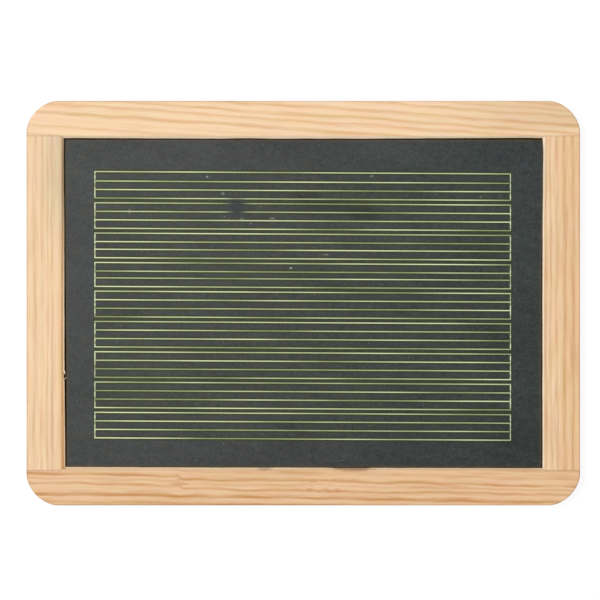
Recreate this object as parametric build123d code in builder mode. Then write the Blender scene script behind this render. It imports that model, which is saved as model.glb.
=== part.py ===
"""School slate: a natural slate panel held in the groove of a glued pine frame.

X runs from left to right, Y from bottom to top and Z from the back face to the front face.
The origin is the middle of the back face, on which the board lies. Lengths are in millimetres.
"""

import os
from math import radians, tan

from build123d import *

# Frame, measured outside
board_width = 260.0
board_height = 190.0
frame_thickness = 8.0
rail_width = 17.5
stile_width = 17.5
corner_radius = 16.0
outer_round = 0.8
inner_chamfer = 1.1

# Slate panel, the groove that holds it, and the slotted corner joints
slate_thickness = 3.0
slate_arris = 0.3
slate_face_clearance = 0.15
slate_edge_clearance = 0.5
groove_depth = 5.0
joint_clearance = 0.05

# Printed writing lines on the front: systems of four lines, closed at both ends
ink_thickness = 0.06
line_width = 0.5
system_count = 9
zones_per_system = 3
zone_height = 4.0
system_gap = 2.25
ruling_width = 195.5
ruling_shift_x = -0.3
ruling_shift_y = -1.3
ruling_slope = -0.34
# The print is uneven: (system, zone) from the top, with what that zone gains or loses in height
uneven_zones = {(0, 0): 0.45, (2, 1): -0.4, (3, 1): -0.75}

# Printed squares on the back
square_size = 10.0
square_columns = 20
square_rows = 13

# What follows from the sizes above
opening_width = board_width - 2 * stile_width
opening_height = board_height - 2 * rail_width
groove_width = slate_thickness + 2 * slate_face_clearance
groove_back = (frame_thickness - groove_width) / 2
slot_depth = stile_width - groove_depth
tenon_thickness = groove_width - 2 * joint_clearance
tenon_back = groove_back + joint_clearance
slate_width = opening_width + 2 * (groove_depth - slate_edge_clearance)
slate_height = opening_height + 2 * (groove_depth - slate_edge_clearance)
slate_back = groove_back + slate_face_clearance
slate_front = slate_back + slate_thickness


def zone_heights(system):
    """Heights of one system's zones, from its top line down."""
    return [zone_height + uneven_zones.get((system, zone), 0.0) for zone in range(zones_per_system)]


def sloping_field(width, height):
    """Corners of a field of the print: upright ends, with a top and bottom that follow the slope."""
    x, y = width / 2, height / 2
    rise = x * tan(radians(ruling_slope))
    return [(-x, -y - rise), (x, -y + rise), (x, y + rise), (-x, y - rise)]


# Outline of the glued frame: rounded corners, and eased edges all round on both faces
with BuildPart() as frame_blank:
    with BuildSketch():
        RectangleRounded(board_width, board_height, corner_radius)
    extrude(amount=frame_thickness)
    fillet(frame_blank.faces().filter_by(Axis.Z).edges(), outer_round)

# Rail stock, with its inner edge chamfered on both faces, where the top rail lies
with BuildPart() as rail_stock:
    with BuildSketch():
        with Locations((0, (board_height - rail_width) / 2)):
            Rectangle(board_width, rail_width)
    extrude(amount=frame_thickness)
    chamfer(rail_stock.edges().filter_by(Axis.X).group_by(Axis.Y)[0], inner_chamfer)

# The rails run the full width: grooved along the inner edge and slotted at both ends for the tenons
with BuildPart() as top_rail:
    add(rail_stock.part)
    with BuildSketch(Plane.XY.offset(groove_back)):
        with Locations((0, (opening_height + groove_depth) / 2)):
            Rectangle(board_width, groove_depth)
        slot_width = slot_depth + joint_clearance
        with Locations((0, (board_height - rail_width) / 2)):
            with GridLocations(board_width - slot_width, 0, 2, 1):
                Rectangle(slot_width, rail_width)
    extrude(amount=groove_width, mode=Mode.SUBTRACT)
    add(frame_blank.part, mode=Mode.INTERSECT)

with BuildPart() as bottom_rail:
    mirror(top_rail.part, about=Plane.XZ)

# Waste at both ends of a stile: the shape of the rails, except in the layer of the tenons
with BuildPart() as shoulder_waste:
    add(rail_stock.part)
    mirror(about=Plane.XZ)
    with BuildSketch(Plane.XY.offset(tenon_back)):
        Rectangle(board_width, board_height)
    extrude(amount=tenon_thickness, mode=Mode.SUBTRACT)

# The stiles stand between the rails: shoulders scribed over the rails' chamfers, tenons right through
with BuildPart() as left_stile:
    with BuildSketch():
        with Locations(((stile_width - board_width) / 2, 0)):
            Rectangle(stile_width, board_height)
    extrude(amount=frame_thickness)
    chamfer(left_stile.edges().filter_by(Axis.Y).group_by(Axis.X)[-1], inner_chamfer)
    with BuildSketch(Plane.XY.offset(groove_back)):
        with Locations((-(opening_width + groove_depth) / 2, 0)):
            Rectangle(groove_depth, board_height)
    extrude(amount=groove_width, mode=Mode.SUBTRACT)
    add(shoulder_waste.part, mode=Mode.SUBTRACT)
    add(frame_blank.part, mode=Mode.INTERSECT)

with BuildPart() as right_stile:
    mirror(left_stile.part, about=Plane.YZ)

# The slate: a sawn panel with its sharp edges broken, loose in the groove
with BuildPart() as slate_panel:
    with BuildSketch(Plane.XY.offset(slate_back)):
        Rectangle(slate_width, slate_height)
    extrude(amount=slate_thickness)
    chamfer(slate_panel.faces().filter_by(Axis.Z).edges(), slate_arris)

# Writing lines printed on the front, a little aslope: each system is a strip of ink with its zones left open
ruling_height = sum(sum(zone_heights(system)) for system in range(system_count))
ruling_height += (system_count - 1) * system_gap
ruling_plane = Plane((ruling_shift_x, ruling_shift_y, slate_front))
with BuildPart() as front_ruling:
    line = ruling_height / 2
    for system in range(system_count):
        system_height = sum(zone_heights(system))
        with BuildSketch(ruling_plane):
            with Locations((0, line - system_height / 2)):
                Polygon(*sloping_field(ruling_width + line_width, system_height + line_width))
            for height in zone_heights(system):
                with Locations((0, line - height / 2)):
                    open_zone = sloping_field(ruling_width - line_width, height - line_width)
                    Polygon(*open_zone, mode=Mode.SUBTRACT)
                line -= height
        extrude(amount=ink_thickness)
        line -= system_gap

# Squares printed on the back: a sheet of ink with every square left open
squares_width = square_columns * square_size + line_width
squares_height = square_rows * square_size + line_width
with BuildPart() as back_squares:
    with BuildSketch(Plane.XY.offset(slate_back - ink_thickness)):
        Rectangle(squares_width, squares_height)
        with GridLocations(square_size, square_size, square_columns, square_rows):
            Rectangle(square_size - line_width, square_size - line_width, mode=Mode.SUBTRACT)
    extrude(amount=ink_thickness)

top_rail.part.label = "top_rail"
bottom_rail.part.label = "bottom_rail"
left_stile.part.label = "left_stile"
right_stile.part.label = "right_stile"
slate_panel.part.label = "slate_panel"
front_ruling.part.label = "front_ruling"
back_squares.part.label = "back_squares"

os.makedirs("parts", exist_ok=True)
export_step(top_rail.part, "parts/top_rail.step")
export_step(bottom_rail.part, "parts/bottom_rail.step")
export_step(left_stile.part, "parts/left_stile.step")
export_step(right_stile.part, "parts/right_stile.step")
export_step(slate_panel.part, "parts/slate_panel.step")
export_step(front_ruling.part, "parts/front_ruling.step")
export_step(back_squares.part, "parts/back_squares.step")
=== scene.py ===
"""School slate: a ruled natural slate in a jointed pine frame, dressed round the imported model.

The board lies flat with its ruled face up: X to the right, Y to the top of the writing, Z up.
Sizes here are in millimetres unless a name says otherwise; meshes and places are in metres.
"""

import math

import bpy
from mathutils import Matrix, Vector, noise


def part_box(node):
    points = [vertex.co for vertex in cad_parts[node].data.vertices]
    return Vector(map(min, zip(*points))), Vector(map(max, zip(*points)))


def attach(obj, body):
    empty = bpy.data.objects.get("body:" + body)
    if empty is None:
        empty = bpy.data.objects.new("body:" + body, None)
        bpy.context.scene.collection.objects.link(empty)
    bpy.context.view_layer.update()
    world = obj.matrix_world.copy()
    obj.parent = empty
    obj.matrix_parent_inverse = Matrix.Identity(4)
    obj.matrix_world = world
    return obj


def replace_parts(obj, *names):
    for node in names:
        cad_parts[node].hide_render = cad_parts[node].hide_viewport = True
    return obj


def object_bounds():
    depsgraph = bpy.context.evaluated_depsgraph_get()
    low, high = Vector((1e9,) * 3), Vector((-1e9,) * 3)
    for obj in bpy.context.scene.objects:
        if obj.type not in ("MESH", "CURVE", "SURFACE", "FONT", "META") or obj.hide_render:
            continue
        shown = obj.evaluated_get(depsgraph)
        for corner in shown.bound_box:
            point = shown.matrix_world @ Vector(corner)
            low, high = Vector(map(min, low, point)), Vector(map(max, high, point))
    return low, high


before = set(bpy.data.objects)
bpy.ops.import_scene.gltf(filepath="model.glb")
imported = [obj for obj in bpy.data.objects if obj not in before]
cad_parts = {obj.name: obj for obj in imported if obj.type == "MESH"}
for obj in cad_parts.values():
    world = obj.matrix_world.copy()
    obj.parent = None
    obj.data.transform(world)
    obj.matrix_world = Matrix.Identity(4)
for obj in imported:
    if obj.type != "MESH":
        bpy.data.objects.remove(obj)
cad_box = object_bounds()
bpy.ops.object.select_all(action="DESELECT")

MM = 0.001


def in_mm(corner):
    """A corner or a vertex, in millimetres."""
    return tuple(value / MM for value in corner)


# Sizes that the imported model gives
board_low, board_high = map(in_mm, cad_box)
half_width, half_height, thickness = board_high
rail_inner = in_mm(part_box("top_rail")[0])[1]
stile_inner = in_mm(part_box("right_stile")[0])[0]
slate_low, slate_high = map(in_mm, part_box("slate_panel"))
ruling_low, ruling_high = map(in_mm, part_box("front_ruling"))

# Frame: rounded corners, eased edges, and the groove that holds the slate
corner_reach = 14.6
corner_fullness = 0.463
outer_round = 0.8
inner_chamfer = 1.1
arris = 0.12
groove_depth = 5.0
slate_clearance = 0.15
groove_back = slate_low[2] - slate_clearance
groove_front = slate_high[2] + slate_clearance
tenon_inner = stile_inner + groove_depth
joint_line = rail_inner + inner_chamfer
spare = 1.0
same_place = 0.001

# How finely the members are rounded and their meshes cleaned: segments, angles in degrees, and a gap
corner_segments = 18
outer_segments = 5
arris_segments = 2
sharp_angle = 25.0
smooth_angle = 50.0
flat_angle = 0.5
double_gap = 0.02

# Inner lips, worn unevenly: the top one swells over the slate in one stretch, the right one is worn back at
# its top. The wear runs out towards the corners
push_most = 2.0
lip_step = 3.0
lip_run_out = 6.0
lip_wear = 0.16
coarse_length, coarse_share = 14.0, 0.45
fine_length, fine_share = 4.0, 0.3
top_swelling = 0.26
top_swollen = (-12.0, 110.0)
top_end_wear = 0.16
top_lean = 0.08
right_lean = 0.5

# A ledge left by the cutter under the chamfer of two members, widest at the lower left: its reach at the
# middle, and what it loses evenly and by the cube towards its other end. A chip, a tear and a swelling in it:
# middle, half length
ledge_rise = 0.25
ledge_root = 0.9
ledge_hidden = 0.4
ledge_gap = 0.03
ledge_step = 1.0
ledge_unevenness = 0.14
left_ledge = (0.14, 0.05, 0.4)
bottom_ledge = (0.13, 0.13, 0.3)
bottom_chip = (22.0, 11.0)
left_tear = (-34.0, 3.2)
left_tear_depth = 0.6
left_swelling = 0.11
left_swollen = (-60.0, 20.0)

# Torn fibres at the tear: root, heading in degrees, length, width and lift in radians
torn_fibres = [((-112.6, -31.4, 6.75), -70, 2.2, 0.9, 0.5), ((-112.75, -36.3, 6.75), 45, 2.5, 0.32, 0.25)]
fibre_steps = 6
fibre_taper = (1.0, 0.78, 0.82)
fibre_smooth_angle = 60.0


class Value:
    """An output socket in a material: arithmetic on it adds Math nodes to that material."""

    def __init__(self, socket):
        self.socket = socket
        self.tree = socket.id_data

    def math(self, operation, *numbers):
        return add_node(self.tree, "ShaderNodeMath", {"operation": operation}, dict(enumerate(numbers)))

    def __add__(self, other):
        return self.math("ADD", self, other)

    def __sub__(self, other):
        return self.math("SUBTRACT", self, other)

    def __rsub__(self, other):
        return self.math("SUBTRACT", other, self)

    def __mul__(self, other):
        return self.math("MULTIPLY", self, other)

    def __truediv__(self, other):
        return self.math("DIVIDE", self, other)

    def __pow__(self, other):
        return self.math("POWER", self, other)

    def __abs__(self):
        return self.math("ABSOLUTE", self)

    __radd__ = __add__
    __rmul__ = __mul__


def add_node(tree, kind, settings=None, inputs=None, output=0):
    """Any node, by its type, its settings and the values or links of its sockets; gives one output."""
    node = tree.nodes.new(kind)
    for name, setting in (settings or {}).items():
        if name == "stops":
            ramp = node.color_ramp
            for place, shade in setting[2:]:
                ramp.elements.new(place)
            for element, (place, shade) in zip(ramp.elements, setting):
                element.position = place
                element.color = (shade, shade, shade, 1)
        elif name == "interpolation":
            node.color_ramp.interpolation = setting
        else:
            setattr(node, name, setting)
    for name, value in (inputs or {}).items():
        if isinstance(value, Value):
            tree.links.new(value.socket, node.inputs[name])
        else:
            node.inputs[name].default_value = value
    return Value(node.outputs[output])


def linear(red, green, blue):
    """A colour measured in 8-bit display values, as the linear colour that a shader takes."""
    parts = (value / 255 for value in (red, green, blue))
    return [part / 12.92 if part <= 0.04045 else ((part + 0.055) / 1.055) ** 2.4 for part in parts] + [1]


class Finish:
    """A new material with its main shader, and short ways to the nodes that its patterns need."""

    def __init__(self, name, **constants):
        self.material = bpy.data.materials.new(name)
        self.material.use_nodes = True
        self.tree = self.material.node_tree
        self.shader = self.tree.nodes["Principled BSDF"]
        for socket, value in constants.items():
            self.shader.inputs[socket.replace("_", " ")].default_value = value
        self.place = self.mapped(self.node("ShaderNodeTexCoord", output="Object"), scale=(1 / MM,) * 3)
        self.x, self.y, self.z = self.parts(self.place)

    def node(self, kind, settings=None, inputs=None, output=0):
        return add_node(self.tree, kind, settings, inputs, output)

    def feed(self, socket, value):
        self.tree.links.new(value.socket, self.shader.inputs[socket])

    def mapped(self, vector, turn=0.0, scale=(1, 1, 1)):
        """A place scaled and then turned about Z."""
        inputs = {"Vector": vector, "Rotation": (0, 0, turn), "Scale": scale}
        return self.node("ShaderNodeMapping", None, inputs)

    def parts(self, vector):
        return [self.node("ShaderNodeSeparateXYZ", None, {0: vector}, axis) for axis in range(3)]

    def noise(self, vector, size, detail=2.0, roughness=0.5, seed=0.0):
        """Noise about zero, between about -1 and 1, with features of a size in mm each way."""
        stretched = self.mapped(vector, scale=[1 / length for length in size])
        inputs = {"Vector": stretched, "W": seed, "Scale": 1.0, "Detail": detail, "Roughness": roughness}
        return self.node("ShaderNodeTexNoise", {"noise_dimensions": "4D"}, inputs) * 2 - 1

    def fade(self, value, start, end):
        """0 at the start and 1 at the end, with soft ends."""
        inputs = {"Value": value, "From Min": start, "From Max": end}
        return self.node("ShaderNodeMapRange", {"interpolation_type": "SMOOTHSTEP"}, inputs)

    def mix(self, factor, first, second, blend="MIX"):
        settings = {"data_type": "RGBA", "blend_type": blend}
        return self.node("ShaderNodeMix", settings, {0: factor, 6: first, 7: second}, 2)

    def spot(self, place, reach, ragged=0.0):
        """1 in the middle of an oval spot, fading to 0 at its reach."""
        aside, up = (self.x - place[0]) / reach[0], (self.y - place[1]) / reach[1]
        return 1 - self.fade(aside * aside + up * up + ragged, 0.0, 1.0)

    def inside(self, half_x, half_y, corner):
        """Distance inside a rounded rectangle about the middle of the board, up to its corner's radius."""
        x = abs(self.x) - (half_x - corner)
        y = abs(self.y) - (half_y - corner)
        x, y = x.math("MAXIMUM", x, 0.0), y.math("MAXIMUM", y, 0.0)
        return corner - (x * x + y * y) ** 0.5

    def cast(self, colour, vector, size, tints, swing, detail=2.0, seed=0.0):
        """A colour with a cast that drifts between two tints, with features of a size in mm each way."""
        drift = self.noise(vector, size, detail, seed=seed) * swing + 0.5
        return self.mix(1.0, colour, self.mix(drift, *(linear(*tint) for tint in tints)), "MULTIPLY")

    def bump(self, height, distance):
        return self.node("ShaderNodeBump", None, {"Height": height, "Distance": distance * MM})


# Pine: the form of its rings, how much each pattern darkens it, and the tints of its casts, of its end grain,
# and of the painted shade on its outer edges and its dark joints
ring_sharpness = 1.7
ring_trough = 0.42
ring_weight = 0.83
fibre_weight = 0.36
drift_weight = 0.34
canal_weight = 0.3
pine_tone = 0.1
red_to_green = ((255, 248, 246), (252, 254, 244))
cold_to_warm = ((253, 253, 255), (255, 251, 243))
end_grain_shade = (222, 205, 186)
# Tint of the painted shade on the outer edges, also used for the dark joints
edge_shade_and_joint_tone = (216, 210, 208)


def ring_chart(finish, radius, rings):
    """Darkness of the wood at a distance from its log's heart, from (distance, darkness) of the rings."""
    stops = []
    for (place, dark), (following, _) in zip(rings, rings[1:]):
        stops.append((place, dark ** (1 / ring_sharpness)))
        stops.append((place + ring_trough * (following - place), 0.0))
    first = stops[0][0]
    span = stops[-1][0] - first
    ramp = {"stops": [((place - first) / span, dark) for place, dark in stops], "interpolation": "EASE"}
    return finish.node("ShaderNodeValToRGB", ramp, {0: (radius - first) / span}) ** ring_sharpness


def pine(name, along_y, early, late, rings, heart, washes, slope=0.0, bend=None, seed=0.0):
    """Sawn and sanded pine. Its rings are (place across the front face, darkness) of the late wood."""
    finish = Finish(name, Specular_IOR_Level=0.25)
    log = finish.mapped(finish.place, turn=math.atan(slope) + (math.pi / 2 if along_y else 0))
    along, across, deep = finish.parts(log)
    waver_reach, fibre_length, pore_weight = (0.8, 30, 0.75) if along_y else (1.6, 20, 0.4)

    sway = finish.noise(log, (80, 25, 25), detail=1, seed=seed)
    waver = finish.noise(log, (22, 7, 7), detail=3, seed=seed + 1) * waver_reach
    ring_place = across + sway + waver
    if bend:
        ring_place = ring_place + bend(finish, along, across)
    aside, below = ring_place - heart[0], deep - heart[1]
    chart = sorted((math.hypot(place - heart[0], thickness - heart[1]), dark) for place, dark in rings)
    band = ring_chart(finish, (aside * aside + below * below) ** 0.5, chart)
    band = band * (finish.noise(log, (26, 3.5, 3.5), seed=seed + 2) * 0.7 + 0.95)

    fibre = finish.noise(log, (fibre_length, 0.75, 0.75), detail=3, roughness=0.72, seed=seed + 3)
    pores = finish.noise(log, (16, 0.45, 0.45), detail=1, seed=seed + 8) * pore_weight
    drift = finish.noise(log, (45, 7, 7), seed=seed + 4)
    canal = finish.fade(finish.noise(log, (6, 0.5, 0.5), detail=1, seed=seed + 5), 0.35, 0.65)
    tone = band * ring_weight + fibre * (fibre_weight + band * fibre_weight) + pores
    tone = tone + drift * drift_weight + canal * canal_weight + pine_tone
    colour = finish.mix(tone, linear(*early), linear(*late))
    colour = finish.cast(colour, log, (18, 3, 3), red_to_green, 1.4, seed=seed + 6)
    colour = finish.cast(colour, log, (24, 4, 4), cold_to_warm, 1.4, seed=seed + 7)
    lip = abs(finish.x) - stile_inner if along_y else abs(finish.y) - rail_inner
    for mask, shade, blend in washes(finish, lip):
        colour = finish.mix(mask, colour, linear(*shade), blend)

    normal = finish.parts(finish.node("ShaderNodeTexCoord", output="Normal"))
    end_grain = finish.fade(abs(normal[1 if along_y else 0]), 0.35, 0.9)
    colour = finish.mix(end_grain * 0.8, colour, linear(*end_grain_shade), "MULTIPLY")
    # Painted shade on the rounded outer edges, stronger towards the left against the lamp's light there; the
    # same tint darkens the joints
    edge_shade = 1 - finish.fade(finish.inside(half_width, half_height, corner_reach), 0.1, 1.0)
    joint = 1 - finish.fade(abs(abs(finish.y) - joint_line), 0.08, 0.6)
    joint = joint * finish.fade(abs(finish.x), stile_inner + 0.7, stile_inner + 1.2)
    edge_shade = edge_shade * (0.55 - finish.x * 0.002)
    colour = finish.mix(edge_shade + joint * 0.5, colour, linear(*edge_shade_and_joint_tone), "MULTIPLY")
    finish.feed("Base Color", colour)
    finish.feed("Roughness", 0.68 - band * 0.12)
    finish.feed("Normal", finish.bump(fibre * 0.5 + band * 0.5 - canal * 0.6, 0.03))
    return finish.material


def add_block(name, low, high):
    """A block between two corners, with its place in its mesh."""
    bpy.ops.mesh.primitive_cube_add(size=1.0)
    block = bpy.context.object
    block.name = block.data.name = name
    block.location = [(a + b) / 2 * MM for a, b in zip(low, high)]
    block.scale = [(b - a) * MM for a, b in zip(low, high)]
    bpy.ops.object.transform_apply(location=True, rotation=True, scale=True)
    return block


def pick_edges(piece, test):
    """Leaves a piece in edit mode with the edges selected whose two ends, in mm, pass a test."""
    bpy.context.view_layer.objects.active = piece
    bpy.ops.object.mode_set(mode="EDIT")
    bpy.ops.mesh.select_mode(type="EDGE")
    bpy.ops.mesh.select_all(action="DESELECT")
    bpy.ops.object.mode_set(mode="OBJECT")
    places = [in_mm(vertex.co) for vertex in piece.data.vertices]
    for edge in piece.data.edges:
        edge.select = bool(test(*(places[index] for index in edge.vertices)))
    bpy.ops.object.mode_set(mode="EDIT")


def bevel_edges(piece, test, width, segments=1, fullness=0.5):
    pick_edges(piece, test)
    bpy.ops.mesh.bevel(offset=width * MM, segments=segments, profile=fullness, affect="EDGES")
    bpy.ops.object.mode_set(mode="OBJECT")


def apply_modifier(piece, kind, **settings):
    bpy.context.view_layer.objects.active = piece
    modifier = piece.modifiers.new(kind.lower(), kind)
    for name, setting in settings.items():
        setattr(modifier, name, setting)
    bpy.ops.object.modifier_apply(modifier=modifier.name)


def cut(piece, cutter, operation="DIFFERENCE", keep=False):
    apply_modifier(piece, "BOOLEAN", object=cutter, operation=operation, solver="EXACT")
    if not keep:
        bpy.data.objects.remove(cutter)


def clean_faces(piece):
    """Joins what the cutters left divided on a piece: doubled vertices, and faces in one plane."""
    bpy.context.view_layer.objects.active = piece
    bpy.ops.object.mode_set(mode="EDIT")
    bpy.ops.mesh.select_all(action="SELECT")
    bpy.ops.mesh.remove_doubles(threshold=double_gap * MM)
    bpy.ops.mesh.dissolve_limited(angle_limit=math.radians(flat_angle))
    bpy.ops.object.mode_set(mode="OBJECT")


def cross_cuts(piece, axis, reach, length):
    """Cuts a piece across in even steps of about a length along an axis, to be shaped between them."""
    bpy.context.view_layer.objects.active = piece
    bpy.ops.object.mode_set(mode="EDIT")
    normal = Vector([float(index == axis) for index in range(3)])
    steps = int(2 * reach / length)
    for step in range(steps + 1):
        place = reach * (2 * step / steps - 1)
        bpy.ops.mesh.select_all(action="SELECT")
        bpy.ops.mesh.bisect(plane_co=normal * place * MM, plane_no=normal)
    bpy.ops.object.mode_set(mode="OBJECT")


def push(piece, direction, distance):
    """Moves the vertices of a piece along X or Y, each by the distance that its place gives, either way."""
    distances = [distance(*in_mm(vertex.co)) for vertex in piece.data.vertices]
    for way in (1, -1):
        group = piece.vertex_groups.new(name="pushed")
        for index, length in enumerate(distances):
            group.add([index], min(max(way * length / push_most, 0.0), 1.0), "REPLACE")
        apply_modifier(piece, "DISPLACE", direction=direction, strength=way * push_most * MM, mid_level=0.0,
                       vertex_group=group.name)
        piece.vertex_groups.clear()


def near(value, place):
    return abs(value - place) < same_place


def hump(value, middle, half_length):
    """1 at the middle and 0 past the ends, with soft shoulders."""
    share = max(0.0, 1 - abs(value - middle) / half_length)
    return share * share * (3 - 2 * share)


def uneven(place, seed):
    """Unevenness, between about 0 and 1, at a place along a lip."""
    coarse = noise.noise(Vector((place / coarse_length, seed, 0.5)))
    fine = noise.noise(Vector((place / fine_length, seed, 7.5)))
    return 0.5 + coarse_share * coarse + fine_share * fine


def frame_outline():
    """The glued frame's outside: corners rounded, edges eased on both faces."""
    outline = add_block("frame_outline", board_low, board_high)
    bevel_edges(outline, lambda a, b: not near(a[2], b[2]), corner_reach, corner_segments, corner_fullness)
    bevel_edges(outline, lambda a, b: near(a[2], b[2]), outer_round, outer_segments)
    return outline


def rail(name, side):
    """A rail, on the +Y or -Y side: chamfered, grooved, and slotted at both ends for the tenons."""
    inner, outer = sorted((side * rail_inner, side * (half_height + spare)))
    reach = half_width + spare
    stock = add_block(name, (-reach, inner, -spare), (reach, outer, thickness + spare))

    def inner_edge(a, b):
        return near(a[1], side * rail_inner) and near(b[1], side * rail_inner) and near(a[2], b[2])

    def slot_face(a, b):
        bottom = side * (rail_inner + groove_depth)
        return a[0] * b[0] > 0 and near(a[1], bottom) and near(b[1], bottom)

    bevel_edges(stock, inner_edge, inner_chamfer + spare)
    inner, outer = sorted((side * (rail_inner - spare), side * (rail_inner + groove_depth)))
    groove = add_block("groove", (-reach - spare, inner, groove_back), (reach + spare, outer, groove_front))
    cross_cuts(groove, 0, tenon_inner, 2 * tenon_inner)
    pick_edges(groove, slot_face)
    bpy.ops.mesh.extrude_region_move(TRANSFORM_OT_translate={"value": (0, side * half_height * MM, 0)})
    bpy.ops.object.mode_set(mode="OBJECT")
    cut(stock, groove)
    return stock


def stile(name, side):
    """A stile, on the +X or -X side, with its tenons and shoulders scribed to the rails."""
    inner, outer = sorted((side * stile_inner, side * (half_width + spare)))
    reach = half_height + spare
    stock = add_block(name, (inner, -reach, -spare), (outer, reach, thickness + spare))

    def inner_edge(a, b):
        return near(a[0], side * stile_inner) and near(b[0], side * stile_inner) and near(a[2], b[2])

    bevel_edges(stock, inner_edge, inner_chamfer + spare)
    inner, outer = sorted((side * (stile_inner - spare), side * tenon_inner))
    groove = add_block("groove", (inner, -reach - spare, groove_back), (outer, reach + spare, groove_front))
    cut(stock, groove)
    for neighbour in (top_rail, bottom_rail):
        cut(stock, neighbour, keep=True)
    return stock


def top_lip(x):
    swelling = top_swelling * uneven(x, 1) * min(1.0, 2 * hump(x, *top_swollen))
    share = x / stile_inner
    return top_end_wear * abs(share) ** 3 + top_lean * max(0.0, share) ** 2 - swelling


def bottom_lip(x):
    return lip_wear * uneven(x, 2)


def left_lip(y):
    return lip_wear * uneven(y, 3)


def right_worn(y):
    """Wear of the right lip, above the middle of the board alone; works on numbers and on values."""
    share = (y + abs(y)) / (2 * rail_inner)
    return right_lean * share * share


def right_lip(y):
    return lip_wear * (uneven(y, 4) - 0.5) + right_worn(y)


def wear_lip(piece, axis, side, wear):
    """Wears a member's inner lips back by as much as each place says, but not at the corners."""
    inner, opening = (rail_inner, stile_inner) if axis == 0 else (stile_inner, rail_inner)
    cross_cuts(piece, axis, opening - lip_step, lip_step)

    def distance(*place):
        if not near(abs(place[1 - axis]), inner) or abs(place[axis]) > opening:
            return 0.0
        return side * wear(place[axis]) * min(1.0, (opening - abs(place[axis])) / lip_run_out)

    push(piece, "YX"[axis], distance)


def ledge(piece, axis, side, reach, start=0.0):
    """Joins a ledge to a member's front lip, which reaches over the slate by as much as its place says."""
    inner, opening = (rail_inner, stile_inner) if axis == 0 else (stile_inner, rail_inner)
    low, high = [0.0, 0.0, groove_front + arris / 2], [0.0, 0.0, thickness - inner_chamfer + ledge_rise]
    low[axis], high[axis] = start - opening, opening
    low[1 - axis], high[1 - axis] = sorted((side * (inner + ledge_root), side * (inner + ledge_hidden)))
    strip = add_block("ledge", low, high)
    cross_cuts(strip, axis, opening - ledge_step, ledge_step)

    def on_face(place):
        return abs(place[1 - axis]) < inner + (ledge_hidden + ledge_root) / 2

    def distance(*place):
        return -side * max(0.0, reach(place[axis]) + ledge_hidden) if on_face(place) else 0.0

    def front_edge(a, b):
        return on_face(a) and on_face(b) and near(a[2], high[2]) and near(b[2], high[2])

    push(strip, "YX"[axis], distance)
    bevel_edges(strip, front_edge, arris, arris_segments)
    cut(piece, strip, "UNION")


def ledge_reach(share, middle, slope, curve):
    """Reach of a ledge over the slate at a share of its half length; works on numbers and on values."""
    return middle - slope * share - curve * share * share * share


def left_reach(y):
    return ledge_reach(y / rail_inner, *left_ledge)


def bottom_reach(x):
    return ledge_reach(x / stile_inner, *bottom_ledge)


def left_edge(y):
    swelling = left_swelling * hump(y, *left_swollen)
    return (left_reach(y) + swelling - left_tear_depth * hump(y, *left_tear)
            - ledge_unevenness * (uneven(y, 21) - 0.5))


def bottom_edge(x):
    chipped = min(1.0, 2 * hump(x, *bottom_chip))
    return (bottom_reach(x) * (1 - chipped) - ledge_hidden * chipped
            - ledge_unevenness * (uneven(x, 22) - 0.5))


def sliver(name, root, heading, length, width, lift):
    """A torn fibre of pine, which tapers from its root and curls up."""
    step = length / fibre_steps
    low, high = (0.0, -width / 2, -width / 4), (step, width / 2, width / 4)
    piece = add_block(name, low, high)
    pick_edges(piece, lambda a, b: near(a[0], step) and near(b[0], step))
    for turn in range(1, fibre_steps):
        rise = lift * turn / fibre_steps
        move = (step * math.cos(rise) * MM, 0.0, step * math.sin(rise) * MM)
        bpy.ops.mesh.extrude_region_move(TRANSFORM_OT_translate={"value": move})
        bpy.ops.transform.resize(value=fibre_taper)
    bpy.ops.object.mode_set(mode="OBJECT")
    piece.location = [value * MM for value in root]
    piece.rotation_euler = (0.0, 0.0, math.radians(heading))
    bpy.ops.object.transform_apply(location=True, rotation=True, scale=True)
    apply_modifier(piece, "SUBSURF", levels=2, render_levels=2)
    return piece


def smooth(piece, angle):
    bpy.context.view_layer.objects.active = piece
    piece.select_set(True)
    bpy.ops.object.shade_smooth_by_angle(angle=math.radians(angle))
    piece.select_set(False)


def break_edges(piece):
    """Breaks a member's sharp edges."""
    apply_modifier(piece, "BEVEL", width=arris * MM, segments=arris_segments, limit_method="ANGLE",
                   angle_limit=math.radians(sharp_angle))


def finish_member(piece, node, material):
    """Smooths a member's shading and puts it in its node's place."""
    smooth(piece, smooth_angle)
    apply_modifier(piece, "WEIGHTED_NORMAL", keep_sharp=True)
    piece.data.materials.clear()
    piece.data.materials.append(material)
    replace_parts(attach(piece, "root"), node)


outline = frame_outline()
top_rail = rail("pine_top_rail", 1)
bottom_rail = rail("pine_bottom_rail", -1)
left_stile = stile("pine_left_stile", -1)
right_stile = stile("pine_right_stile", 1)
members = (top_rail, bottom_rail, left_stile, right_stile)
for member in members:
    cut(member, outline, "INTERSECT", keep=True)
    clean_faces(member)
bpy.data.objects.remove(outline)
wear_lip(top_rail, 0, 1, top_lip)
wear_lip(bottom_rail, 0, -1, bottom_lip)
wear_lip(left_stile, 1, -1, left_lip)
wear_lip(right_stile, 1, 1, right_lip)
for member in members:
    break_edges(member)
ledge(left_stile, 1, -1, left_edge)
ledge(bottom_rail, 0, -1, bottom_edge, left_edge(-rail_inner) + ledge_gap)

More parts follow.
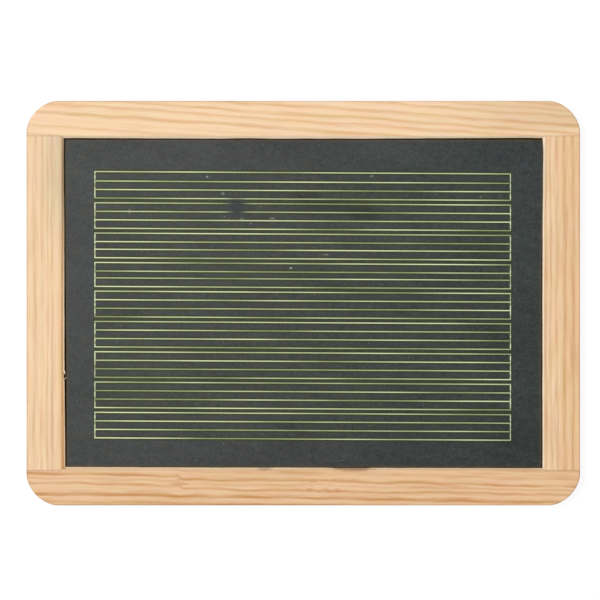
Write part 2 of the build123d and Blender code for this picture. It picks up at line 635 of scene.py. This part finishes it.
# Late wood on the front of each member: its place across the member, and how dark it is
top_rings = [(58, 0.6), (62, 0.5), (66.5, 0.6), (70.8, 0.5), (74.9, 0.7), (77.8, 0.25), (81.2, 1),
             (85.4, 0.9), (88.3, 0.95), (92.1, 0.95), (96.3, 0.85), (98.8, 0.6), (101.5, 0.6), (105, 0.8),
             (109, 0.6)]
bottom_rings = [(-108, 0.8), (-104, 0.8), (-100, 0.8), (-95.0, 0.6), (-91.7, 1), (-88.0, 0.75),
                (-85.8, 0.4), (-83.8, 0.85), (-79.9, 0.35), (-76, 0.6), (-72, 0.5), (-68, 0.6), (-64, 0.6)]
left_rings = [(-138, 0.6), (-134.5, 0.5), (-131, 0.5), (-126.0, 0.6), (-122.6, 0.45), (-120.2, 0.55),
              (-118.2, 0.8), (-113.9, 0.5), (-110, 0.6), (-106.5, 0.6), (-103, 0.5)]
right_rings = [(102, 0.5), (106, 0.5), (110, 0.5), (114.0, 0.45), (116.4, 0.6), (119.1, 0.5), (122.8, 0.7),
               (126.9, 0.65), (131, 0.7), (136, 0.8)]
heart_aside = 45.0
heart_below = -25.0


def heart_of(middle):
    """The heart of a member's log: towards the middle of the board and below its back."""
    return middle - math.copysign(heart_aside, middle), heart_below


def bottom_bend(finish, along, across):
    """The bottom rail's rings: they jump at a fault, and are curly in one place."""
    log = finish.place
    jump = finish.fade(along + finish.noise(log, (3, 1.5, 3), seed=17), -54.6, -57.0)
    jump = jump * finish.fade(across, -91.0, -88.5) * -1.25
    curly = finish.fade(abs(along - 11), 13, 5) * finish.fade(abs(across + 85.5), 4.5, 2.0)
    ripple = finish.noise(log, (2.2, 1.3, 3), detail=0, seed=18)
    return jump + curly * ripple * 0.9


# Marks on the frame, each with its middle and reach: a darker notch where the left stile's lip meets the
# bottom rail's, a grey smear on the bottom rail's lip and painted shade at the chip in it, and dark grain at
# its fault
notch = ((-112.2, -77.5), (1.1, 1.1))
lip_smear = ((-18.2, -77.6), (4.6, 1.7))
# The brown patch at the chip is painted shade of the dent in the lip
chip_shade = ((24.0, -77.6), (13.0, 1.9))
long_fault_grain = ((-58.6, -85.0), (5.6, 1.1))
short_fault_grain = ((-57.6, -82.6), (2.7, 0.8))
fault_colour = (196, 148, 98)


# A darker spot at the notch where the left stile's lip meets the bottom rail's
def notch_darkening(finish):
    return finish.spot(*notch) * 0.25, (130, 98, 66), "MULTIPLY"


def top_washes(finish, lip):
    """The top rail is paler at its lip, and duller at its right end."""
    return [(finish.fade(lip, 1.3, 0.5) * 0.5, (250, 232, 208), "MIX"),
            (finish.fade(finish.x, 55, 115) * finish.fade(lip, 1.5, 6) * 0.85, (238, 234, 228), "MULTIPLY")]


def bottom_washes(finish, lip):
    """The bottom rail: dust on its lip, with a smear and painted shade at the chip there, and dark grain at
    the fault.
    """
    ragged = finish.noise(finish.place, (2, 0.8, 2), seed=19) * 0.5
    return [(finish.fade(lip, 1.4, 0.6) * 0.55, (222, 201, 170), "MIX"),
            (finish.spot(*lip_smear, ragged) * 0.5, (176, 166, 172), "MULTIPLY"),
            (finish.spot(*chip_shade, ragged) * 0.7, (176, 150, 126), "MULTIPLY"),
            notch_darkening(finish),
            (finish.spot(*long_fault_grain, ragged) * 0.6, fault_colour, "MIX"),
            (finish.spot(*short_fault_grain, ragged) * 0.5, fault_colour, "MIX")]


def left_washes(finish, lip):
    """The left stile greys to its top; its chamfer is warm brown as painted shade, darkened towards the slate
    and the top by dirt and painted shade, with a pale ledge.
    """
    ledge_face = finish.fade(lip + left_reach(finish.y), 0.45, 0.25)
    low = finish.fade(finish.y, -30, -55)
    pale = 0.8 + finish.fade(abs(finish.y - 5), 30, 10) * 0.2
    pale = pale - low * (0.3 + finish.noise(finish.place, (3, 3, 3), seed=29) * 0.5)
    # The chamfer's warm brown tint is painted shade: the colour of bounced light where the chamfer faces away
    # from the lamp
    chamfer = finish.fade(lip, 1.15, 0.7) * (1 - ledge_face)
    # Dirt and painted shade darken the chamfer towards the slate, most at the top
    dirt_and_shade = finish.fade(lip, 1.3, 0.1) * finish.fade(lip, -0.3, -0.1) * finish.fade(finish.y, -10, 60)
    upper = finish.fade(finish.y, 5, 50)
    return [(finish.fade(finish.y, 20, 60) * finish.fade(lip, 15, 6) * 0.75, (240, 246, 249), "MULTIPLY"),
            (finish.fade(lip, 7.5, 2.0) * upper * 0.6, (240, 244, 246), "MULTIPLY"),
            (finish.fade(lip, 4.5, 1.0) * (1 - upper) * 0.7, (248, 240, 228), "MULTIPLY"),
            (chamfer * 0.9, (255, 236, 204), "MULTIPLY"),
            (ledge_face * pale, (253, 236, 210), "MIX"),
            (finish.fade(lip, 0.6, 0.3) * low * 0.9, (230, 222, 214), "MULTIPLY"),
            notch_darkening(finish),
            (dirt_and_shade * 0.75, (150, 132, 104), "MULTIPLY")]


def right_washes(finish, lip):
    """The right stile is redder towards its outside, with a painted highlight at its lip beside a darker
    line.
    """
    lip = lip - right_worn(finish.y)
    line = finish.fade(lip, 0.5, 0.8) * finish.fade(lip, 1.9, 1.3)
    return [(finish.fade(finish.x, 117.5, 122.5) * 0.8, (248, 240, 228), "MULTIPLY"),
            (line * 0.5, (232, 224, 214), "MULTIPLY"),
            # Painted highlight on the chamfer that faces the lamp
            (finish.fade(lip, 0.8, 0.4) * 0.8, (254, 236, 210), "MIX")]


rail_middle = (rail_inner + half_height) / 2
stile_middle = (stile_inner + half_width) / 2
top_pine = pine("pine_top", False, (251, 222, 190), (230, 190, 145), top_rings, heart_of(rail_middle),
                top_washes, slope=0.066, seed=1.0)
bottom_pine = pine("pine_bottom", False, (238, 202, 166), (200, 146, 91), bottom_rings,
                   heart_of(-rail_middle), bottom_washes, slope=0.02, bend=bottom_bend, seed=11.0)
left_pine = pine("pine_left", True, (248, 218, 185), (220, 185, 146), left_rings, heart_of(-stile_middle),
                 left_washes, seed=21.0)
right_pine = pine("pine_right", True, (247, 216, 183), (213, 172, 128), right_rings, heart_of(stile_middle),
                  right_washes, seed=31.0)
finish_member(top_rail, "top_rail", top_pine)
finish_member(bottom_rail, "bottom_rail", bottom_pine)
finish_member(left_stile, "left_stile", left_pine)
finish_member(right_stile, "right_stile", right_pine)

for count, (root, heading, length, width, lift) in enumerate(torn_fibres, 1):
    fibre = sliver(f"torn_fibre_{count}", root, heading, length, width, lift)
    smooth(fibre, fibre_smooth_angle)
    fibre.data.materials.append(left_pine)
    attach(fibre, "root")

# The place where the ruling was rubbed off, and its reach; then the slate's darker patches and its chalk
# marks: middle, reach and strength
rubbed_place = (-31.4, 44.9)
rubbed_reach = (7.4, 7.8)
dark_patches = [((29.0, 41.5), (10.0, 5.0), 0.7), ((17.0, 44.5), (25.0, 5.5), 0.5),
                ((0.8, 50.7), (10.0, 3.4), 0.5), ((109.9, 77.0), (3.4, 1.6), 1.5)]
chalk_marks = [((-45.1, 59.4), (0.9, 0.6), 0.5), ((-37.8, 51.5), (1.1, 0.9), 0.2),
               ((-36.9, 40.7), (0.5, 0.5), 0.3), ((-28.8, 39.5), (1.3, 0.7), 0.18),
               ((-24.8, 37.6), (0.7, 0.6), 0.15), ((-81.8, 43.2), (0.8, 1.2), 0.2),
               ((32.3, 59.7), (1.1, 0.7), 0.25), ((-5.8, 16.5), (0.9, 0.6), 0.45),
               ((83.5, 50.0), (0.7, 0.7), 0.15), ((-14.7, 39.8), (1.5, 0.4), 0.4),
               ((10.7, 22.8), (1.4, 0.5), 0.3), ((-19.9, 45.4), (0.7, 0.4), 0.15)]

# The black line along the lips, a painted shadow: its widths, how soft its edge is, where it is wider on the
# left (middle, fade, more width) and where it dies out on the right. Then the dust beside it: where it starts
# and is full
shadow_line_widths = {"left": 0.4, "right": 0.46, "top": 0.62, "bottom": 0.12}
shadow_line_softness = 0.16
left_shadow_swellings = [(-30.0, (60, 25), 0.3), (left_tear[0], (24, 12), 0.2)]
right_shadow_fade = (10, 60)
right_shadow_loss = 1.3
rim_dust_fade = (1.5, 0.3)

# The slate's tone in the middle of the board and its change for each mm along X and Y, which makes it lighter
# to the upper left as painted sheen; then the colours of the slate, of what lies on it and of the ink
slate_tone = 0.335
slate_sheen_lean = (-0.00106, 0.00058)
slate_dark = (30, 33, 33)
slate_pale = (90, 92, 91)
brown_to_blue = ((255, 248, 240), (240, 251, 255))
pink_to_green = ((255, 248, 255), (248, 255, 247))
right_tint = (244, 255, 255)
rubbed_tint = (176, 204, 232)
patch_tint = (170, 172, 150)
olive_tint = (224, 238, 118)
chalk_white = (198, 202, 194)
rim_dust = (114, 90, 40)
# Black of the painted shadow along the lips
shadow_line_black = (40, 26, 4)
ink_full = (222, 229, 186)
ink_thin = (140, 152, 108)
ink_dust = (200, 203, 182)
ink_gone = (54, 58, 56)


def rubbed_off(finish):
    """How much of the ruling is rubbed off: all in the middle of one place, and softly less round it."""
    ragged = finish.noise(finish.place, (5, 5, 5), detail=2, seed=41) * 0.12
    aside, up = ((place - middle) / reach for place, middle, reach in
                 zip((finish.x, finish.y), rubbed_place, rubbed_reach))
    return 1 - finish.fade((aside * aside + up * up) ** 0.5 + ragged, 0.1, 1.0)


def darkness(finish):
    """How much darker the slate is in patches."""
    ragged = finish.noise(finish.place, (5, 5, 5), detail=2, seed=41) * 0.4
    total = 0.0
    for place, reach, strength in dark_patches:
        total = finish.spot(place, reach, ragged) * strength + total
    return total


def chalk(finish):
    """Dots and dust of chalk left on the slate."""
    ragged = finish.noise(finish.place, (1.1, 0.7, 1.1), detail=2, seed=42) * 1.4
    inputs = {"Vector": finish.place, "Scale": 0.16}
    cell = {"voronoi_dimensions": "2D"}
    spread = finish.node("ShaderNodeTexVoronoi", cell, inputs, "Distance")
    pick = finish.parts(finish.node("ShaderNodeTexVoronoi", cell, inputs, "Color"))[0]
    dust = finish.fade(pick * 0.12 - 0.07 - spread + ragged * 0.015, 0.0, 0.03) * 0.25
    for place, reach, strength in chalk_marks:
        dust = finish.spot(place, reach, ragged) * strength + dust
    return dust


def from_shadow_line(finish):
    """Distance from the edge of the black line of painted shadow at the frame's lips."""
    left_lap, bottom_lap = left_reach(finish.y), bottom_reach(finish.x)
    left_lap = left_lap + finish.fade(abs(finish.y - left_swollen[0]), left_swollen[1], 0) * left_swelling
    left_width = shadow_line_widths["left"]
    for middle, reach, more in left_shadow_swellings:
        left_width = finish.fade(abs(finish.y - middle), *reach) * more + left_width
    left = finish.x + stile_inner - left_lap.math("MAXIMUM", left_lap, 0.0) - left_width
    right_width = shadow_line_widths["right"] * (1 - finish.fade(finish.y, *right_shadow_fade) * right_shadow_loss)
    right = stile_inner + right_worn(finish.y) - finish.x - right_width
    top = rail_inner - finish.y - shadow_line_widths["top"]
    whole = finish.fade(abs(finish.x - bottom_chip[0]), bottom_chip[1] * 0.5, bottom_chip[1])
    bottom = finish.y + rail_inner - (bottom_lap + shadow_line_widths["bottom"]) * whole
    nearest = left.math("MINIMUM", left.math("MINIMUM", left, right), left.math("MINIMUM", top, bottom))
    return nearest + finish.noise(finish.place, (5, 5, 5), seed=43) * 0.12


def ruling_rows():
    """Slope of the ruling, and the middles of its lines on the upright through its left end."""
    corners = [in_mm(vertex.co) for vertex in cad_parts["front_ruling"].data.vertices]
    ends = sorted({round(x, 2) for x, y, z in corners})
    left, right = (min(y for x, y, z in corners if near(round(x, 2), end)) for end in (ends[0], ends[-1]))
    slope = (right - left) / (ends[-1] - ends[0])
    edges = sorted({round(y - (x - ends[0]) * slope, 2) for x, y, z in corners if round(x, 2) in ends[:2]})
    return slope, [(a + b) / 2 for a, b in zip(edges[::2], edges[1::2])]


def olive_cast(finish):
    """The ink's cast on the slate: its oil has crept a little way out of every line."""
    slope, lines = ruling_rows()
    row = finish.y - (finish.x - ruling_low[0]) * slope
    nearest = abs(row - lines[0])
    for line in lines[1:]:
        nearest = row.math("MINIMUM", nearest, abs(row - line))
    middle, reach = (ruling_low[0] + ruling_high[0]) / 2, (ruling_high[0] - ruling_low[0]) / 2
    beside = finish.fade(abs(finish.x - middle), reach + 0.7, reach)
    return beside * finish.fade(nearest, 1.4, 0.75) * (1 - rubbed_off(finish))


def slate_finish():
    """Ground slate, wiped many times: dark and matt, hazy with chalk, lighter to the upper left as painted
    sheen, dusty at its rim and black along the lips as a painted shadow.
    """
    finish = Finish("slate_face", Specular_IOR_Level=0.25)
    cloud = finish.noise(finish.place, (34, 24, 24), detail=4, roughness=0.6, seed=44)
    wiping = finish.noise(finish.mapped(finish.place, turn=0.3), (50, 5, 5), detail=3, seed=45)
    mottle = finish.noise(finish.place, (3.4, 2.6, 2.6), detail=3, roughness=0.65, seed=46)
    grit = finish.noise(finish.place, (1.0, 0.9, 0.9), detail=2, seed=47)
    scratch = 1 - finish.fade(abs(finish.noise(finish.place, (30, 22, 22), seed=48)), 0.0, 0.008)
    scratch = scratch * finish.fade(finish.noise(finish.place, (12, 12, 12), seed=49), 0.1, 0.4)
    # Painted sheen: the slate is lighter towards the upper left, where the lamp's sheen falls
    tone = slate_tone + finish.x * slate_sheen_lean[0] + finish.y * slate_sheen_lean[1]
    tone = tone - finish.fade(abs(finish.x), 70, 110) * 0.035 - finish.fade(abs(finish.y), 45, 70) * 0.02
    tone = tone + cloud * 0.2 + wiping * 0.14 + mottle * 0.34 + grit * 0.38 + scratch * 0.1
    colour = finish.mix(tone, linear(*slate_dark), linear(*slate_pale))
    colour = finish.cast(colour, finish.place, (5, 4, 5), brown_to_blue, 1.7, detail=3, seed=50)
    colour = finish.mix(finish.fade(finish.x, -20, 100), colour, linear(*right_tint), "MULTIPLY")
    colour = finish.cast(colour, finish.place, (3.2, 2.8, 3.2), pink_to_green, 1.5, seed=54)
    front = finish.fade(finish.z, slate_low[2] + 1, slate_high[2] - 1)
    colour = finish.mix(front * rubbed_off(finish) * 0.5, colour, linear(*rubbed_tint), "MULTIPLY")
    colour = finish.mix(front * darkness(finish), colour, linear(*patch_tint), "MULTIPLY")
    colour = finish.mix(front * olive_cast(finish), colour, linear(*olive_tint), "MULTIPLY")
    colour = finish.mix(front * chalk(finish), colour, linear(*chalk_white))
    rim = from_shadow_line(finish)
    colour = finish.mix(finish.fade(rim, *rim_dust_fade) * 0.22, colour, linear(*rim_dust))
    # Painted shadow of the lips and of the gap in the groove: a black line on the slate, made metallic too so
    # that it shows no sheen
    black = 1 - finish.fade(rim, -shadow_line_softness, shadow_line_softness)
    colour = finish.mix(black, colour, linear(*shadow_line_black))
    finish.feed("Base Color", colour)
    finish.feed("Metallic", black * 0.85)
    finish.feed("Roughness", 0.58 + mottle * 0.1)
    finish.feed("Normal", finish.bump(grit + mottle * 0.6 - scratch, 0.02))
    return finish.material


def ink_finish(name, press_size, rubbed):
    """Printed ink, heavier and thinner as the press left it, with pinholes and chalk dust."""
    finish = Finish(name, Roughness=0.55, Specular_IOR_Level=0.3)
    press = finish.noise(finish.place, press_size, detail=1, seed=51)
    pinholes = finish.noise(finish.place, (0.8, 0.5, 0.8), detail=2, seed=52)
    dust = finish.fade(finish.noise(finish.place, (14, 5, 14), detail=3, seed=53), 0.0, 0.5)
    thin = press * 2.1 + 0.46 + finish.fade(finish.x, -45, -15) * 0.14
    colour = finish.mix(thin, linear(*ink_full), linear(*ink_thin))
    colour = finish.mix(dust * 0.4, colour, linear(*ink_dust))
    worn = finish.fade(pinholes * 0.8 + press * 0.4, 0.35, 0.9) * 0.5
    if rubbed:
        worn = worn + rubbed_off(finish) * 1.15
    finish.feed("Base Color", finish.mix(worn, colour, linear(*ink_gone)))
    finish.feed("Normal", finish.bump(pinholes, 0.01))
    return finish.material


def put_on(node, material):
    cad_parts[node].material_slots[0].material = material


put_on("slate_panel", slate_finish())
put_on("front_ruling", ink_finish("ruling_ink", (60, 1.7, 60), True))
put_on("back_squares", ink_finish("squares_ink", (30, 30, 30), False))

# Floor, light and camera
photo_pixels = 600
pixel = 0.4695
board_centre_pixel = (303.3, 303.1)
camera_height = 1200.0
key_place = (-1620.0, 650.0, 3250.0)
key_power = 69.0
key_size = 1200.0
sky_strength = 0.55
floor_size = 6000.0
floor_glow = 0.84
floor_white = 1.06
floor_paper = 0.85


def seen(tree):
    """1 where the camera looks, straight or by a reflection, and 0 for light."""
    rays = [add_node(tree, "ShaderNodeLightPath", output=f"Is {kind} Ray")
            for kind in ("Camera", "Glossy", "Transmission")]
    return rays[0].math("MAXIMUM", rays[0], rays[0].math("MAXIMUM", rays[1], rays[2]))


def add_floor():
    bpy.ops.mesh.primitive_plane_add(size=floor_size * MM, location=(0, 0, 0))
    floor = bpy.context.object
    floor.name = "floor"
    material = bpy.data.materials.new("floor_paper")
    material.use_nodes = True
    tree = material.node_tree
    tree.nodes.remove(tree.nodes["Principled BSDF"])
    paper = add_node(tree, "ShaderNodeBsdfDiffuse", None, {"Color": (floor_paper,) * 3 + (1,)})
    white = add_node(tree, "ShaderNodeEmission", None, {"Strength": floor_white})
    both = add_node(tree, "ShaderNodeMixShader", None, {0: seen(tree) * floor_glow, 1: paper, 2: white})
    tree.links.new(both.socket, tree.nodes["Material Output"].inputs["Surface"])
    floor.data.materials.append(material)


def add_sky():
    world = bpy.data.worlds.new("studio")
    bpy.context.scene.world = world
    world.use_nodes = True
    background = world.node_tree.nodes["Background"]
    background.inputs["Color"].default_value = (1, 1, 1, 1)
    strength = seen(world.node_tree) * (1 - sky_strength) + sky_strength
    world.node_tree.links.new(strength.socket, background.inputs["Strength"])


def add_lamp(name, place, power, size):
    lamp = bpy.data.lights.new(name, "AREA")
    lamp.energy = power
    lamp.size = size * MM
    holder = bpy.data.objects.new(name, lamp)
    holder.location = [value * MM for value in place]
    bpy.context.scene.collection.objects.link(holder)
    holder.rotation_euler = holder.location.to_track_quat("Z", "Y").to_euler()


def add_camera():
    camera = bpy.data.cameras.new("camera")
    camera.sensor_fit = "HORIZONTAL"
    field = photo_pixels * pixel
    camera.angle = 2 * math.atan(field / 2 / (camera_height - thickness))
    holder = bpy.data.objects.new("camera", camera)
    shift = [(photo_pixels / 2 - place) * pixel for place in board_centre_pixel]
    holder.location = (shift[0] * MM, -shift[1] * MM, camera_height * MM)
    bpy.context.scene.collection.objects.link(holder)
    bpy.context.scene.camera = holder


add_floor()
add_sky()
add_lamp("key", key_place, key_power, key_size)
add_camera()
bpy.context.scene.view_settings.view_transform = "Standard"
